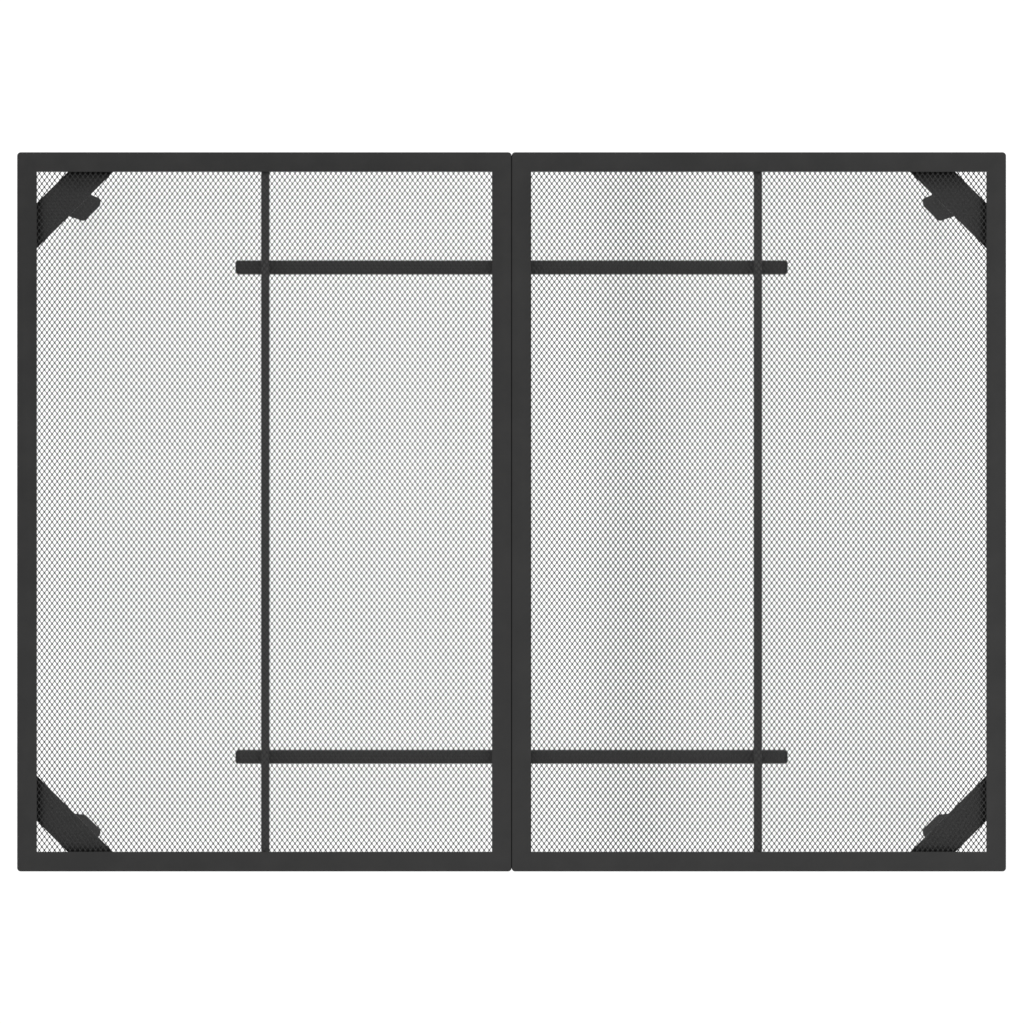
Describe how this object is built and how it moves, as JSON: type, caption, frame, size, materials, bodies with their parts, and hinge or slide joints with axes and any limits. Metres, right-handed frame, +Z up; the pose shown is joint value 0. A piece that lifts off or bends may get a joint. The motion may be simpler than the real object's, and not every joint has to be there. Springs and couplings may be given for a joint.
{
  "type": "garden table",
  "caption": "Rectangular steel garden table with a two-panel expanded-metal top, tie bars underneath, corner plates and splayed flat oval legs.",
  "frame": {"origin": "on the floor, under the middle of the table top", "axes": "+X along the table from left to right, +Y from the front edge to the back edge, +Z up"},
  "size_m": [1.1, 0.8096, 0.72],
  "materials": {
    "powder_coat": "satin",
    "mesh_coating": "satin",
    "black_plastic": "matte",
    "dark_steel": "satin"
  },
  "bodies": {
    "root": {"back_tie_bar": "powder_coat", "back_tie_plug_left": "black_plastic", "back_tie_plug_right": "black_plastic", "corner_plate_back_left": "powder_coat", "corner_plate_back_right": "powder_coat", "corner_plate_front_left": "powder_coat", "corner_plate_front_right": "powder_coat", "foot_cap_back_left": "black_plastic", "foot_cap_back_right": "black_plastic", "foot_cap_front_left": "black_plastic", "foot_cap_front_right": "black_plastic", "front_tie_bar": "powder_coat", "front_tie_plug_left": "black_plastic", "front_tie_plug_right": "black_plastic", "left_panel_back_rail": "powder_coat", "left_panel_front_rail": "powder_coat", "left_panel_inner_stile": "powder_coat", "left_panel_mesh": "mesh_coating", "left_panel_mid_bar": "powder_coat", "left_panel_outer_stile": "powder_coat", "leg_back_left": "powder_coat", "leg_back_right": "powder_coat", "leg_bolt_back_left_1": "dark_steel", "leg_bolt_back_left_2": "dark_steel", "leg_bolt_back_right_1": "dark_steel", "leg_bolt_back_right_2": "dark_steel", "leg_bolt_front_left_1": "dark_steel", "leg_bolt_front_left_2": "dark_steel", "leg_bolt_front_right_1": "dark_steel", "leg_bolt_front_right_2": "dark_steel", "leg_front_left": "powder_coat", "leg_front_right": "powder_coat", "leg_plate_back_left": "powder_coat", "leg_plate_back_right": "powder_coat", "leg_plate_front_left": "powder_coat", "leg_plate_front_right": "powder_coat", "panel_bolt_back": "dark_steel", "panel_bolt_front": "dark_steel", "panel_nut_back": "dark_steel", "panel_nut_front": "dark_steel", "right_panel_back_rail": "powder_coat", "right_panel_front_rail": "powder_coat", "right_panel_inner_stile": "powder_coat", "right_panel_mesh": "mesh_coating", "right_panel_mid_bar": "powder_coat", "right_panel_outer_stile": "powder_coat", "tie_screw_back_left": "dark_steel", "tie_screw_back_right": "dark_steel", "tie_screw_front_left": "dark_steel", "tie_screw_front_right": "dark_steel"}
  },
  "joints": []
}
